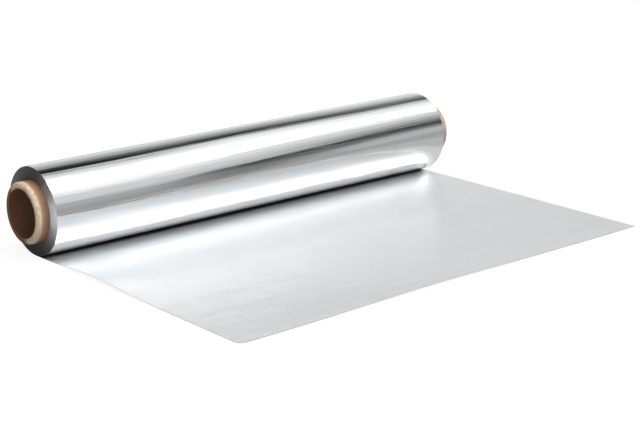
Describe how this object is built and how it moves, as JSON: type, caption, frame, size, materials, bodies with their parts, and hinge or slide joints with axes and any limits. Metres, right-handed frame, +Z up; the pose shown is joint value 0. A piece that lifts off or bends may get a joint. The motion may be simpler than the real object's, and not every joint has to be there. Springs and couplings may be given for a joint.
{
  "type": "aluminium foil roll",
  "caption": "Kitchen foil wound on a paperboard core that stands out at both ends, lying on its side with the free end run out flat from under the roll.",
  "frame": {"origin": "on the core's axis, half way along the foil", "axes": "+X along the roll's axis, +Y away from the free end, +Z up from the table"},
  "size_m": [0.3193, 0.214, 0.0517],
  "materials": {
    "paperboard": "matt, spirally wound brown board with a paler cut rim",
    "foil": "bright outside, satin inside"
  },
  "bodies": {
    "root": {"core_tube": "paperboard", "foil": "foil"}
  },
  "joints": []
}
